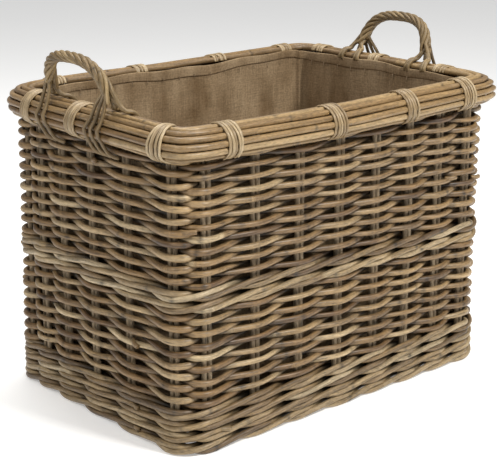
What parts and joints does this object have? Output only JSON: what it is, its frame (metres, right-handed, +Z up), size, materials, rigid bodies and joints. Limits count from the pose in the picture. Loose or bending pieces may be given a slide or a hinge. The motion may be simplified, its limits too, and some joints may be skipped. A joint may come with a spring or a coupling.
{
  "type": "wicker log basket",
  "caption": "Rectangular open basket woven from round cane on paired stakes, with a bundled cane rim, two rope handles on the short sides and a sewn hessian liner.",
  "frame": {"origin": "on the floor, under the middle of the basket", "axes": "+Z up, +X along the long sides, +Y across the basket; the handles stand on the short sides at -X and +X"},
  "size_m": [0.7202, 0.5078, 0.5765],
  "materials": {
    "weaver_cane": "weathered round cane, satin",
    "wale_cane": "weathered grey round cane, satin",
    "stake_cane": "weathered grey-brown round cane, matt",
    "rim_cane": "smooth round cane, slight gloss",
    "split_cane": "split cane with a glossy skin",
    "handle_cane": "twisted round cane, satin",
    "base_cane": "round cane, matt",
    "hessian": "coarse plain-woven jute cloth",
    "thread": "jute sewing thread"
  },
  "bodies": {
    "root": {"base_frame": "base_cane", "base_sticks": "base_cane", "base_weave": "base_cane", "foot_wale": "wale_cane", "lower_weave": "weaver_cane", "middle_wale": "wale_cane", "upper_weave": "weaver_cane", "stakes_front": "stake_cane", "stakes_right": "stake_cane", "stakes_back": "stake_cane", "stakes_left": "stake_cane", "rim_inner_cane": "rim_cane", "rim_crest_cane": "rim_cane", "rim_shoulder_cane": "rim_cane", "rim_upper_side_cane": "rim_cane", "rim_side_cane": "rim_cane", "rim_lower_side_cane": "rim_cane", "rim_under_cane": "rim_cane", "rim_core_cane": "rim_cane", "rim_binding_1": "split_cane", "rim_binding_2": "split_cane", "rim_binding_3": "split_cane", "rim_binding_4": "split_cane", "rim_binding_5": "split_cane", "rim_binding_6": "split_cane", "rim_binding_7": "split_cane", "rim_binding_8": "split_cane", "rim_binding_9": "split_cane", "rim_binding_10": "split_cane", "rim_binding_11": "split_cane", "rim_binding_12": "split_cane", "rim_binding_13": "split_cane", "rim_binding_14": "split_cane", "handle_left_rope": "handle_cane", "handle_right_rope": "handle_cane", "handle_left_front_tail": "handle_cane", "handle_left_back_tail": "handle_cane", "handle_right_front_tail": "handle_cane", "handle_right_back_tail": "handle_cane", "liner_walls": "hessian", "liner_floor_panel": "hessian", "liner_hem": "hessian", "liner_stitches": "thread"}
  },
  "joints": []
}
